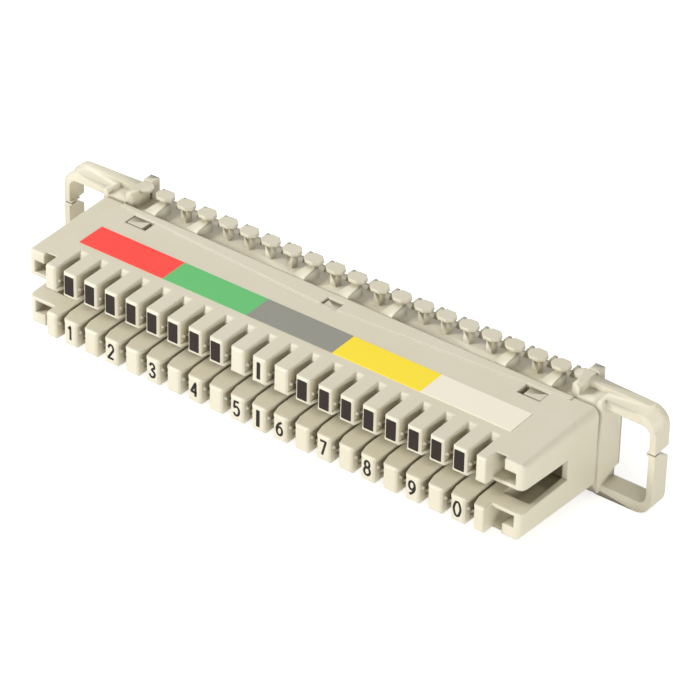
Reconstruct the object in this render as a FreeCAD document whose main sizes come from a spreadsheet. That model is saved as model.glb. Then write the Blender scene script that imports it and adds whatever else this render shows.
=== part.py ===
import FreeCAD, Part
import math
import os
import re

import Sketcher
from FreeCAD import Placement, Rotation, Vector

# Punch down wiring block: a disconnection module for ten wire pairs.
#
# X runs along the block, Y from the tooth fronts (Y = 0) to the rear jaws and Z up. The outlines are drawn
# with the mid plane between the two tooth rows at Z = 0, and every piece is then moved by the same
# placement, so that the block's frame lies in the middle of its footprint, at its lowest face.
# Sizes are in millimetres and angles in degrees.

SIZES = {
    # whole block
    "depth": 38.0,
    "foot": 10.25,
    # two rows of teeth
    "slots": 20,
    "pitch": 4.5,
    "slot_wide": 1.76,
    "end_tooth": 1.97,
    "row_high": 7.2,
    "draft": 1.7,
    "front_round": 0.3,
    "corner": 1.3,
    # mouth between the rows
    "mouth_front": 2.35,
    "mouth_rear": 1.95,
    "mouth_deep": 14.5,
    "mouth_floor": 5.6,
    "mouth_side": 0.9,
    # wire slots
    "groove_floor": 3.0,
    "groove_step": 4.4,
    "groove_deep": 5.9,
    "groove_brim": 0.6,
    "groove_end": 7.3,
    "throat_deep": 2.3,
    "throat_over": 0.3,
    "slit": 0.6,
    "nub_round": 0.54,
    "nub_high": 0.45,
    "nub_slope": 20,
    "nub_root": 0.2,
    "nub_back": 1.0,
    "nub_level": 4.3,
    # end blocks
    "block_wide": 5.8,
    "block_back": 2.15,
    "block_round": 1.0,
    "block_wall": 2.0,
    "block_side": 1.4,
    "block_lip": 0.55,
    "notch_wide": 2.2,
    "notch_deep": 3.1,
    # hollow rear of the housing
    "shell_deep": 22.4,
    "shell_wall": 1.45,
    "chamber_wide": 3.6,
    "chamber_low": 3.2,
    "chamber_high": 6.4,
    "chamber_front": 6.6,
    "band_high": 0.2,
    "band_half": 47.0,
    "band_side": 21.3,
    "band_mid": 18.5,
    "window_at": 41.05,
    "window_wide": 4.5,
    "window_deep": 2.7,
    "window_back": 20.8,
    "mid_window": 3.4,
    "mid_window_deep": 2.0,
    # label
    "label_long": 89.7,
    "label_wide": 5.9,
    "label_thick": 0.12,
    "label_at": -0.55,
    "label_front": 8.6,
    # contacts
    "contact_level": 4.8,
    "contact_turn": 45,
    "blade_wide": 3.8,
    "blade_thick": 0.5,
    "blade_front": 1.9,
    "blade_back": 6.4,
    "blade_slit": 0.7,
    "blade_slit_deep": 3.4,
    "neck_wide": 1.4,
    "neck_back": 7.4,
    "twist_back": 9.4,
    "arm_front": 15.2,
    "arm_wide": 1.2,
    "arm_reach": 17.6,
    "arm_pad": 1.4,
    "tail_back": 26.5,
    "contact_play": 0.04,
    # plug and body of the base
    "plug_front": 19.6,
    "plug_play": 0.1,
    "base_front": 22.9,
    "base_back": 33.0,
    "base_half": 52.1,
    "end_back": 29.2,
    "rear_half": 49.0,
    "core_lap": 0.5,
    "deck": 6.5,
    "ledge_in": 47.2,
    "ledge": 8.0,
    "end_wall": 1.0,
    "end_low": 9.2,
    "tab_wide": 3.3,
    "tab_deep": 2.3,
    "tab_play": 0.15,
    "tab_shy": 0.1,
    "tab_root": 0.3,
    "mid_tab": 2.8,
    # slit rings
    "ring_half": 62.0,
    "ring_front": 24.0,
    "ring_step": 26.3,
    "ring_back": 27.9,
    "ring_low": 8.8,
    "ring_high": 9.6,
    "ring_slope": 0.5,
    "ring_top": 6.85,
    "ring_bottom": 8.1,
    "ring_side": 1.2,
    "ring_round": 3.2,
    "ring_inner": 1.6,
    "cut_level": 1.85,
    "cut_gap": 0.2,
    "cut_back": 0.3,
    "cut_open": 2.2,
    "cut_turn": 1.3,
    "lip_high": 1.2,
    "lip_out": 0.45,
    # wire posts
    "posts": 21,
    "post_pitch": 4.6,
    "post_at": 26.75,
    "stem_wide": 1.2,
    "stem_long": 1.6,
    "head_wide": 3.4,
    "head_long": 2.9,
    "head_cut": 0.9,
    "head_thick": 0.6,
    "head_top": 9.85,
    "fin_wide": 2.3,
    "fin_high": 8.3,
    "fin_gap": 0.15,
    "cheek_wide": 1.3,
    "cheek_front": 23.2,
    "lug_wide": 1.9,
    "lug_deep": 2.0,
    "lug_back": 30.4,
    # rear fingers and jaws
    "finger_wide": 2.2,
    "finger_deep": 1.6,
    "finger_back": 32.2,
    "finger_high": 7.2,
    "finger_cut": 0.8,
    "jaw_at": 38.0,
    "jaw_wide": 6.4,
    "jaw_slot": 1.6,
    "jaw_deep": 5.0,
    "jaw_top": -0.8,
    "jaw_low": 8.4,
    "jaw_lead": 0.6,
    "jaw_round": 1.0,
}

# Posts, counted from the middle one, that have a fin running forward to the housing's edge.
FIN_POSTS = (-9, -7, -2, 0, 2, 7, 9)

# Lengths that several features share, worked out from the cells.
SLOT_ONE = "(slots - 1) * pitch / 2"
COMB_HALF = "((slots - 1) * pitch / 2 + slot_wide / 2 + end_tooth)"
FRONT_HALF = "((slots - 1) * pitch / 2 + slot_wide / 2 + end_tooth + block_wide - block_back * tan(draft))"
REAR_HALF = "(" + FRONT_HALF + " + shell_deep * tan(draft))"
CAVITY_HALF = "(" + REAR_HALF + " - shell_wall)"
POCKET_HALF = "(" + COMB_HALF + " + block_wide - block_side)"
POCKET_HIGH = "(row_high + block_back * tan(draft) - block_wall)"
MOUTH_SLOPE = "((mouth_front - mouth_rear) / mouth_deep)"
MOUTH_END = "(" + FRONT_HALF + " + mouth_floor * tan(draft) - mouth_side)"
POST_ONE = "(posts - 1) * post_pitch / 2"
BEYOND = "(depth + 30)"

os.makedirs("parts", exist_ok=True)
doc = FreeCAD.newDocument("wiring_block")
sheet = doc.addObject("Spreadsheet::Sheet", "sizes")
for row, (alias, size) in enumerate(SIZES.items(), start=1):
    sheet.set("A%d" % row, alias)
    sheet.set("B%d" % row, str(size))
    sheet.setAlias("B%d" % row, alias)
doc.recompute()


def cells(text):
    """Write the sheet's name before each alias in an expression."""
    return re.sub(r"[a-z_]+", lambda word: "sizes." + word[0] if word[0] in SIZES else word[0], str(text))


def number(thing, text):
    return float(thing.evalExpression(cells(text)))


def new_body(label, turn=None):
    """Start a piece in the block's frame, turned about its long axis through the point where it is drawn."""
    body = doc.addObject("PartDesign::Body", label)
    body.Label = label
    body.Placement = Placement(Vector(0, 0, 0), turn or Rotation())
    body.setExpression("Placement.Base.y", cells("-depth / 2"))
    body.setExpression("Placement.Base.z", cells("foot"))
    return body


def new_sketch(body, name, role, offset="0", turn=None, shift=("0", "0")):
    """Attach a sketch to one of the body's origin planes, offset along the plane's own normal."""
    drawing = body.newObject("Sketcher::SketchObject", name)
    origin_plane = [item for item in body.Origin.OriginFeatures if item.Role == role][0]
    drawing.AttachmentSupport = [(origin_plane, "")]
    drawing.MapMode = "FlatFace"
    drawing.AttachmentOffset = Placement(Vector(0, 0, 0), turn or Rotation())
    for letter, text in zip("xyz", (shift[0], shift[1], offset)):
        if text != "0":
            drawing.setExpression("AttachmentOffset.Base." + letter, cells(text))
    return drawing


def bind(drawing, kind, items, text):
    """Add a driving dimension and bind it to the sheet."""
    index = drawing.addConstraint(Sketcher.Constraint(kind, *items, number(drawing, text)))
    drawing.setExpression("Constraints[%d]" % index, cells(text))


def place_point(drawing, geometry, end, corner):
    for kind, text in (("DistanceX", corner[0]), ("DistanceY", corner[1])):
        bind(drawing, kind, (-1, 1, geometry, end), text)


def outline(drawing, corners, rounds=None):
    """Draw a closed outline through corners given as expressions; rounds maps a corner to its radius."""
    rounds = rounds or {}
    spots = [Vector(number(drawing, x), number(drawing, y), 0) for x, y in corners]
    count = len(spots)
    arrive = list(spots)
    leave = list(spots)
    arcs = {}
    for i, radius_text in rounds.items():
        radius = number(drawing, radius_text)
        back = (spots[i - 1] - spots[i]).normalize()
        ahead = (spots[(i + 1) % count] - spots[i]).normalize()
        half = back.getAngle(ahead) / 2
        arrive[i] = spots[i] + back * (radius / math.tan(half))
        leave[i] = spots[i] + ahead * (radius / math.tan(half))
        centre = spots[i] + (back + ahead).normalize() * (radius / math.sin(half))
        forward = back.cross(ahead).z < 0
        first, last = (arrive[i], leave[i]) if forward else (leave[i], arrive[i])
        angles = [math.atan2(spot.y - centre.y, spot.x - centre.x) for spot in (first, last)]
        arcs[i] = (Part.ArcOfCircle(Part.Circle(centre, Vector(0, 0, 1), radius), *angles), forward)
    lines = []
    for i in range(count):
        lines.append(drawing.addGeometry(Part.LineSegment(leave[i - 1], arrive[i]), False))
    for i in range(count):
        following = lines[(i + 1) % count]
        if i not in arcs:
            drawing.addConstraint(Sketcher.Constraint("Coincident", lines[i], 2, following, 1))
            place_point(drawing, following, 1, corners[i])
            continue
        arc_geometry, forward = arcs[i]
        arc = drawing.addGeometry(arc_geometry, False)
        near, far = (1, 2) if forward else (2, 1)
        drawing.addConstraint(Sketcher.Constraint("Tangent", lines[i], 2, arc, near))
        drawing.addConstraint(Sketcher.Constraint("Tangent", arc, far, following, 1))
        point = drawing.addGeometry(Part.Point(spots[i]), True)
        drawing.addConstraint(Sketcher.Constraint("PointOnObject", point, 1, lines[i]))
        drawing.addConstraint(Sketcher.Constraint("PointOnObject", point, 1, following))
        place_point(drawing, point, 1, corners[i])
        bind(drawing, "Radius", (arc,), rounds[i])


def rectangle(drawing, low, high, rounds=None):
    outline(drawing, [(low[0], low[1]), (high[0], low[1]), (high[0], high[1]), (low[0], high[1])], rounds)


def turned_corners(half_long, half_thick, angle):
    """Corners of a rectangle that is turned about the sketch's origin."""
    corners = []
    for long_sign, thick_sign in ((-1, -1), (1, -1), (1, 1), (-1, 1)):
        turned = (long_sign, half_long, angle, thick_sign, half_thick, angle)
        x = "%d * %s * cos(%s) - %d * %s * sin(%s)" % turned
        z = "%d * %s * sin(%s) + %d * %s * cos(%s)" % turned
        corners.append((x, z))
    return corners


def both_sides(drawing, corners, rounds=None):
    """Draw an outline and its mirror image across the sketch's vertical axis."""
    outline(drawing, corners, rounds)
    outline(drawing, [("-(%s)" % x, y) for x, y in corners], rounds)


def both_rows(drawing, corners, rounds=None):
    """Draw an outline and its mirror image across the sketch's horizontal axis."""
    outline(drawing, corners, rounds)
    outline(drawing, [(x, "-(%s)" % y) for x, y in corners], rounds)


def add(kind, body, drawing, length, symmetric=False, back=False, taper=None):
    """Pad or pocket a sketch; a pocket goes against the sketch's normal unless back is set."""
    feature = body.newObject("PartDesign::" + kind, drawing.Name + "_" + kind.lower())
    feature.Profile = drawing
    if symmetric:
        feature.SideType = "Symmetric"
    feature.Reversed = back
    feature.Refine = False
    feature.setExpression("Length", cells(length))
    if taper:
        feature.setExpression("TaperAngle", cells(taper))
    return feature


def pad(body, drawing, length, **options):
    return add("Pad", body, drawing, length, **options)


def pocket(body, drawing, length, **options):
    return add("Pocket", body, drawing, length, **options)


def repeat(body, name, features, count, step, merge=False):
    """Repeat features along X; merge joins the faces that lie in one plane."""
    pattern = body.newObject("PartDesign::LinearPattern", name)
    pattern.Originals = features
    pattern.Refine = merge
    axis = [item for item in body.Origin.OriginFeatures if item.Role == "X_Axis"][0]
    pattern.Direction = (axis, [""])
    pattern.setExpression("Occurrences", cells(count))
    pattern.setExpression("Length", cells("(%s - 1) * %s" % (count, step)))
    body.Tip = pattern
    return pattern


def mirror_ends(body, name, features):
    """Mirror features to the block's other end."""
    mirrored = body.newObject("PartDesign::Mirrored", name)
    mirrored.Originals = features
    mirrored.Refine = False
    mirrored.MirrorPlane = ([item for item in body.Origin.OriginFeatures if item.Role == "YZ_Plane"][0], [""])
    body.Tip = mirrored
    return mirrored


def housing_outside(body):
    """Drafted block with the raised band, and the front corners rounded along both rows."""
    shape = new_sketch(body, "outside", "XZ_Plane")
    half = FRONT_HALF
    high = "(row_high + band_high)"
    rectangle(shape, ("-" + half, "-" + high), (half, high), dict.fromkeys(range(4), "corner"))
    pad(body, shape, "shell_deep", back=True, taper="draft")
    for side, turn in (("upper", 1), ("lower", -1)):
        top = new_sketch(body, "front_of_band_" + side, "XY_Plane")
        top.AttachmentOffset = Placement(Vector(0, 0, 0), Rotation(Vector(1, 0, 0), turn * SIZES["draft"]))
        top.setExpression("AttachmentOffset.Base.z", cells("%d * row_high" % turn))
        top.setExpression("AttachmentOffset.Rotation.Angle", cells("draft"))
        top.setExpression("AttachmentOffset.Rotation.Axis.x", str(turn))
        outline(top, [("-" + BEYOND, "-1"), (BEYOND, "-1"), (BEYOND, "shell_deep + 1"),
                      ("band_half", "shell_deep + 1"), ("band_half", "band_side"), ("0", "band_mid"),
                      ("-band_half", "band_side"), ("-band_half", "shell_deep + 1"),
                      ("-" + BEYOND, "shell_deep + 1")])
        pocket(body, top, "band_high * 3", back=turn > 0)


def front_edges(body):
    """Take the sharpness off the front edges that run along the two rows."""
    edges = new_sketch(body, "row_edges", "YZ_Plane")
    both_rows(edges, [("-1", "row_high - front_round"), ("0", "row_high - front_round"),
                      ("front_round", "row_high + front_round * tan(draft)"), ("front_round", "row_high + 1"),
                      ("-1", "row_high + 1")])
    both_rows(edges, [("-1", "mouth_front - 1"), ("front_round", "mouth_front - 1"),
                      ("front_round", "mouth_front - front_round * %s" % MOUTH_SLOPE),
                      ("0", "mouth_front + front_round"), ("-1", "mouth_front + front_round")])
    pocket(body, edges, COMB_HALF + " * 2 + 1", symmetric=True)


def mouth(body):
    """Tapered mouth between the rows, open at the front and through both ends."""
    gap = new_sketch(body, "mouth", "YZ_Plane")
    front = "(mouth_front + %s)" % MOUTH_SLOPE
    outline(gap, [("-1", "-" + front), ("mouth_deep", "-mouth_rear"), ("mouth_deep", "mouth_rear"), ("-1", front)])
    pocket(body, gap, BEYOND + " * 2", symmetric=True)


def end_blocks(body):
    """Set back the two end blocks and open their pockets, notches and floors."""
    setback = new_sketch(body, "block_setback", "XY_Plane")
    face = "(%s + block_wide)" % COMB_HALF
    both_sides(setback, [(COMB_HALF, "-1"), (BEYOND, "-1"), (BEYOND, "block_back + block_round"),
                         (face, "block_back + block_round"),
                         (face + " - block_round * 0.29", "block_back + block_round * 0.29"),
                         (face + " - block_round", "block_back"), (COMB_HALF, "block_back")])
    pocket(body, setback, BEYOND, symmetric=True)
    hole = new_sketch(body, "block_pocket", "XZ_Plane")
    inner = "(mouth_front + block_lip)"
    for high in ("", "-"):
        both_sides(hole, [(COMB_HALF, high + inner), (POCKET_HALF, high + inner), (POCKET_HALF, high + POCKET_HIGH),
                          (COMB_HALF, high + POCKET_HIGH)])
    pocket(body, hole, "mouth_deep + 1")
    floor = new_sketch(body, "block_floor", "XY_Plane")
    both_sides(floor, [(COMB_HALF, "mouth_floor"), (MOUTH_END, "mouth_floor"), (MOUTH_END, "mouth_deep + 1"),
                       (COMB_HALF, "mouth_deep + 1")])
    pocket(body, floor, inner + " * 2 + 0.4", symmetric=True)
    notch = new_sketch(body, "block_notch", "YZ_Plane", offset=COMB_HALF)
    both_rows(notch, [("block_back - 1", POCKET_HIGH + " - 0.2"), ("block_back + notch_deep", POCKET_HIGH + " - 0.2"),
                      ("block_back + notch_deep", POCKET_HIGH), ("block_back + 0.2", "row_high + 0.4"),
                      ("block_back - 1", "row_high + 0.4")])
    cut = pocket(body, notch, "notch_wide", back=True)
    mirror_ends(body, "block_notches", [cut])


def wire_slot(body):
    """Cut the first wire slot: an outer groove with a rising floor, a throat, a slit and the contact's seat."""
    first = "-" + SLOT_ONE
    groove = new_sketch(body, "groove", "YZ_Plane", offset=first)
    both_rows(groove, [("-1", "groove_floor"), ("groove_step", "groove_floor"),
                       ("groove_deep", "row_high - groove_brim"), ("groove_end", "row_high + groove_brim"),
                       ("groove_end", "row_high + 2"), ("-1", "row_high + 2")])
    grooves = pocket(body, groove, "slot_wide", symmetric=True)
    throat = new_sketch(body, "throat", "XY_Plane", shift=(first, "0"))
    outline(throat, [("-slot_wide / 2", "-1"), ("slot_wide / 2", "-1"), ("slot_wide / 2", "0"),
                     ("slit / 2", "throat_deep"), ("slit / 2", "mouth_deep + 1"),
                     ("-slit / 2", "mouth_deep + 1"), ("-slit / 2", "throat_deep"), ("-slot_wide / 2", "0")])
    throats = pocket(body, throat, "(groove_floor + throat_over) * 2", symmetric=True)
    flare = new_sketch(body, "flare", "XY_Plane", shift=(first, "0"))
    wide = "(slot_wide / 2 + front_round)"
    outline(flare, [("-" + wide, "-1"), (wide, "-1"), (wide, "0"), ("slot_wide / 2", "front_round"),
                    ("-slot_wide / 2", "front_round"), ("-" + wide, "0")])
    flares = pocket(body, flare, BEYOND, symmetric=True)
    seat = new_sketch(body, "blade_seat", "XZ_Plane", offset="-blade_front")
    across = "(blade_wide / 2 + contact_play)"
    thick = "(blade_thick / 2 + contact_play)"
    corners = turned_corners(across, thick, "contact_turn")
    for sign in ("", "-"):
        outline(seat, [("%s + %s" % (first, x), "%scontact_level + %s" % (sign, z)) for x, z in corners])
    seats = pocket(body, seat, "chamber_front - blade_front + 0.2")
    chamber = new_sketch(body, "chamber", "XZ_Plane", offset="-chamber_front")
    both_rows(chamber, [(first + " - chamber_wide / 2", "chamber_low"), (first + " + chamber_wide / 2", "chamber_low"),
                        (first + " + chamber_wide / 2", "chamber_high"), (first + " - chamber_wide / 2", "chamber_high")])
    chambers = pocket(body, chamber, "mouth_deep - chamber_front + 1")
    return [grooves, throats, flares, seats, chambers]


def nubs(body):
    """Add the tapered nubs that grip a wire, on both side faces of the first slot."""
    made = []
    corners = []
    for y, z in ((1, 0), (0, 1), (-1, 0), (0, -1)):
        corners.append(("%d * nub_round" % y, "%d * nub_round" % z))
    for side, sign in (("left", "-"), ("right", "+")):
        nub = new_sketch(body, "nub_" + side, "YZ_Plane", shift=("nub_back", "0"),
                         offset="-%s %s (slot_wide / 2 + nub_root)" % (SLOT_ONE, sign))
        for level in ("nub_level", "-nub_level"):
            outline(nub, [(y, "%s + %s" % (level, z)) for y, z in corners])
        made.append(pad(body, nub, "nub_high + nub_root", back=side == "right", taper="-nub_slope"))
    return made


def hollow_rear(body):
    """Hollow out the rear, where the base plugs in, and cut the latch windows."""
    cavity = new_sketch(body, "rear_cavity", "XZ_Plane", offset="-mouth_deep")
    rectangle(cavity, ("-" + CAVITY_HALF, "-chamber_high"), (CAVITY_HALF, "chamber_high"))
    pocket(body, cavity, BEYOND)
    window = new_sketch(body, "latch_windows", "XY_Plane")
    near = "(window_at - window_wide / 2)"
    far = "(window_at + window_wide / 2)"
    both_sides(window, [(near, "window_back - window_deep"), (far, "window_back - window_deep"),
                        (far, "window_back"), (near, "window_back")])
    rectangle(window, ("-mid_window / 2", "window_back - mid_window_deep"), ("mid_window / 2", "window_back"))
    pocket(body, window, BEYOND, symmetric=True)


def front_housing():
    body = new_body("front_housing")
    housing_outside(body)
    mouth(body)
    front_edges(body)
    end_blocks(body)
    hollow_rear(body)
    repeat(body, "wire_slots", wire_slot(body) + nubs(body), "slots", "pitch", merge=True)
    return body


def base_core(body):
    """Body behind the housing, the plug that enters it and the end blocks that carry the rings."""
    core = new_sketch(body, "core", "XZ_Plane", offset="-base_front")
    rectangle(core, ("-base_half", "-deck"), ("base_half", "deck"))
    pad(body, core, "end_back - base_front", back=True)
    rear = new_sketch(body, "rear_core", "XZ_Plane", offset="core_lap - end_back")
    rectangle(rear, ("-rear_half", "-deck"), ("rear_half", "deck"))
    pad(body, rear, "base_back - end_back + core_lap", back=True)
    plug = new_sketch(body, "plug", "XZ_Plane", offset="-plug_front")
    wide = "(%s - plug_play)" % CAVITY_HALF
    rectangle(plug, ("-" + wide, "-(chamber_high - plug_play)"), (wide, "chamber_high - plug_play"))
    pad(body, plug, "base_front - plug_front + core_lap", back=True)
    ends = new_sketch(body, "end_blocks", "XZ_Plane", offset="-base_front")
    both_sides(ends, [("ledge_in", "-end_low"), ("base_half", "-end_low"), ("base_half", "ring_low"),
                      ("base_half - end_wall", "ring_low"), ("base_half - end_wall", "ledge"), ("ledge_in", "ledge")])
    pad(body, ends, "ring_back - base_front", back=True)


def latch_tabs(body):
    """Tabs that catch behind the rear edges of the housing's windows, on top and underneath."""
    root = "(chamber_high - plug_play - tab_root)"
    top = "(row_high + (window_back - window_deep) * tan(draft) - tab_shy)"
    far = "(window_at + window_wide / 2 - tab_play)"
    near = "(%s - tab_wide)" % far
    for side, sign in (("upper", ""), ("lower", "-")):
        tabs = new_sketch(body, "tabs_" + side, "XY_Plane", offset=sign + root)
        both_sides(tabs, [(near, "window_back - tab_deep"), (far, "window_back - tab_deep"), (far, "window_back"),
                          (near, "window_back")])
        rectangle(tabs, ("-mid_tab / 2", "window_back - mid_window_deep + tab_play"), ("mid_tab / 2", "window_back"))
        pad(body, tabs, "%s - %s" % (top, root), back=side == "lower")


def rings(body):
    """Slit rings at both ends: a lower front layer and a higher rear layer round the same opening."""
    for name, start, end, inner_edge, top, droop in (
            ("ring_front", "ring_front", "ring_step", "(base_half - end_wall)", "ring_low", "0"),
            ("ring_rear", "ring_step", "ring_back", "ledge_in", "ring_high", "ring_slope")):
        ring = new_sketch(body, name, "XZ_Plane", offset="-" + start)
        both_sides(ring, [(inner_edge, "-foot"), ("ring_half", "-foot"), ("ring_half", top + " - " + droop),
                          (inner_edge, top)], {1: "ring_round", 2: "ring_round"})
        both_sides(ring, [("base_half", "-ring_bottom"), ("ring_half - ring_side", "-ring_bottom"),
                          ("ring_half - ring_side", "ring_top"), ("base_half", "ring_top")],
                   {1: "ring_inner", 2: "ring_inner"})
        pad(body, ring, "%s - %s" % (end, start), back=True)


def ring_slits(body):
    """Lip and V-shaped slit in each ring's outer bar."""
    lip = new_sketch(body, "ring_lip", "XZ_Plane", offset="-ring_front")
    inner = "(ring_half - ring_side)"
    both_sides(lip, [(inner + " + 0.2", "cut_level - lip_high / 2"), (inner + " + 0.2", "cut_level + lip_high / 2"),
                     (inner + " - lip_out", "cut_level + lip_high / 4"),
                     (inner + " - lip_out", "cut_level - lip_high / 4")])
    pad(body, lip, "ring_step - ring_front", back=True)
    slit = new_sketch(body, "ring_slit", "YZ_Plane", offset="ring_half + 1")
    outline(slit, [("ring_front - 1", "cut_level - cut_gap / 2"), ("ring_front + cut_turn", "cut_level - cut_gap / 2"),
                   ("ring_back + 1", "cut_level - cut_open"), ("ring_back + 1", "cut_level + cut_gap / 2 + cut_back"),
                   ("ring_front - 1", "cut_level + cut_gap / 2")])
    cut = pocket(body, slit, "ring_side + lip_out + 2")
    mirror_ends(body, "ring_slits", [cut])


def post_fins(body):
    """Fins that run forward from seven of the posts to the housing's edge."""
    fins = new_sketch(body, "fins", "XY_Plane")
    for place in FIN_POSTS:
        middle = "(%d * post_pitch)" % place
        rectangle(fins, (middle + " - fin_wide / 2", "shell_deep + fin_gap"), (middle + " + fin_wide / 2", "post_at"))
    pad(body, fins, "fin_high * 2", symmetric=True)


def cheeks(body):
    """Wall with half a head and a lug behind it, at each end of the row of posts."""
    cheek = new_sketch(body, "cheeks", "XY_Plane")
    side = "(%s + cheek_wide)" % POST_ONE
    back = "(post_at + head_long / 2)"
    both_sides(cheek, [(POST_ONE, "cheek_front"), (side, "cheek_front"), (side, back), (POST_ONE, back)])
    pad(body, cheek, "head_top * 2", symmetric=True)
    tip = "(%s - head_wide / 2)" % POST_ONE
    front = "(post_at - head_long / 2)"
    for side_name, level in (("upper", "head_top - head_thick"), ("lower", "-head_top")):
        half_head = new_sketch(body, "half_head_" + side_name, "XY_Plane", offset=level)
        both_sides(half_head, [(POST_ONE + " + 0.2", front), (POST_ONE + " + 0.2", back),
                               (tip + " + head_cut", back), (tip, back + " - head_cut"),
                               (tip, front + " + head_cut"), (tip + " + head_cut", front)])
        pad(body, half_head, "head_thick")
    lug = new_sketch(body, "lugs", "XY_Plane")
    lug_side = "(%s - cheek_wide / 4)" % POST_ONE
    both_sides(lug, [(lug_side, "lug_back - lug_deep"), (lug_side + " + lug_wide", "lug_back - lug_deep"),
                     (lug_side + " + lug_wide", "lug_back"), (lug_side, "lug_back")])
    pad(body, lug, "head_top * 2", symmetric=True)


def wire_post(body):
    """First of the T-headed posts, on top and underneath."""
    stem = new_sketch(body, "stem", "XY_Plane", shift=("-" + POST_ONE + " + post_pitch", "post_at"))
    rectangle(stem, ("-stem_wide / 2", "-stem_long / 2"), ("stem_wide / 2", "stem_long / 2"))
    stems = pad(body, stem, "(head_top - head_thick / 2) * 2", symmetric=True)
    heads = []
    x = "head_wide / 2"
    y = "head_long / 2"
    for side, level in (("upper", "head_top - head_thick"), ("lower", "-head_top")):
        head = new_sketch(body, "head_" + side, "XY_Plane", offset=level,
                          shift=("-" + POST_ONE + " + post_pitch", "post_at"))
        outline(head, [("-%s + head_cut" % x, "-" + y), (x + " - head_cut", "-" + y), (x, "-%s + head_cut" % y),
                       (x, y + " - head_cut"), (x + " - head_cut", y), ("-%s + head_cut" % x, y),
                       ("-" + x, y + " - head_cut"), ("-" + x, "-%s + head_cut" % y)])
        heads.append(pad(body, head, "head_thick"))
    return [stems] + heads


def rear_finger(body):
    """First of the round-topped fingers behind the posts."""
    finger = new_sketch(body, "finger", "XZ_Plane", offset="finger_deep - finger_back", shift=("-" + POST_ONE, "0"))
    wide = "(finger_wide / 2)"
    corners = []
    for x_sign, z_sign, order in (("", "-", -1), ("", "", 1), ("-", "", -1), ("-", "-", 1)):
        corner = [("%s%s" % (x_sign, wide), "%s(finger_high - finger_cut)" % z_sign),
                  ("%s(%s - finger_cut)" % (x_sign, wide), "%sfinger_high" % z_sign)]
        corners += corner[::order]
    outline(finger, corners)
    return [pad(body, finger, "finger_deep", back=True)]


def tail_seat(body):
    """First of the blind slots in the plug that hold the tails of an upper and a lower contact."""
    first = "-" + SLOT_ONE
    seat = new_sketch(body, "tail_seat", "XZ_Plane", offset="-plug_front", shift=(first, "0"))
    wide = "(blade_thick / 2 + contact_play)"
    high = "(contact_level + neck_wide / 2 + contact_play)"
    rectangle(seat, ("-" + wide, "-" + high), (wide, high))
    return [pocket(body, seat, "tail_back - plug_front")]


def rear_jaws(body):
    """Two jaws that clip over the rails of a mounting frame."""
    jaw = new_sketch(body, "jaws", "XY_Plane", offset="-jaw_low")
    left = "(jaw_at - jaw_wide / 2)"
    right = "(jaw_at + jaw_wide / 2)"
    near = "(jaw_at - jaw_slot / 2)"
    far = "(jaw_at + jaw_slot / 2)"
    both_sides(jaw, [(left, "base_back - 1"), (right, "base_back - 1"), (right, "depth"),
                     (far + " + jaw_lead", "depth"), (far, "depth - jaw_lead * 2"), (far, "depth - jaw_deep"),
                     (near, "depth - jaw_deep"), (near, "depth - jaw_lead * 2"), (near + " - jaw_lead", "depth"),
                     (left, "depth")], {2: "jaw_round", 9: "jaw_round"})
    pad(body, jaw, "jaw_low + jaw_top")


def base_carrier():
    body = new_body("base_carrier")
    base_core(body)
    latch_tabs(body)
    rings(body)
    ring_slits(body)
    post_fins(body)
    cheeks(body)
    rear_jaws(body)
    repeat(body, "tail_seats", tail_seat(body), "slots", "pitch")
    repeat(body, "wire_posts", wire_post(body), "(posts - 2)", "post_pitch")
    repeat(body, "rear_fingers", rear_finger(body), "posts", "post_pitch", merge=True)
    return body


def label_strip():
    """Thin strip of five colour fields, lying on the drafted top of the housing."""
    body = new_body("label_strip")
    strip = new_sketch(body, "strip", "XY_Plane")
    strip.AttachmentOffset = Placement(Vector(0, 0, 0), Rotation(Vector(1, 0, 0), SIZES["draft"]))
    strip.setExpression("AttachmentOffset.Rotation.Angle", cells("draft"))
    strip.setExpression("AttachmentOffset.Base.z", cells("row_high"))
    rectangle(strip, ("label_at - label_long / 2", "label_front / cos(draft)"),
              ("label_at + label_long / 2", "label_front / cos(draft) + label_wide"))
    pad(body, strip, "label_thick")
    return body


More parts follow.
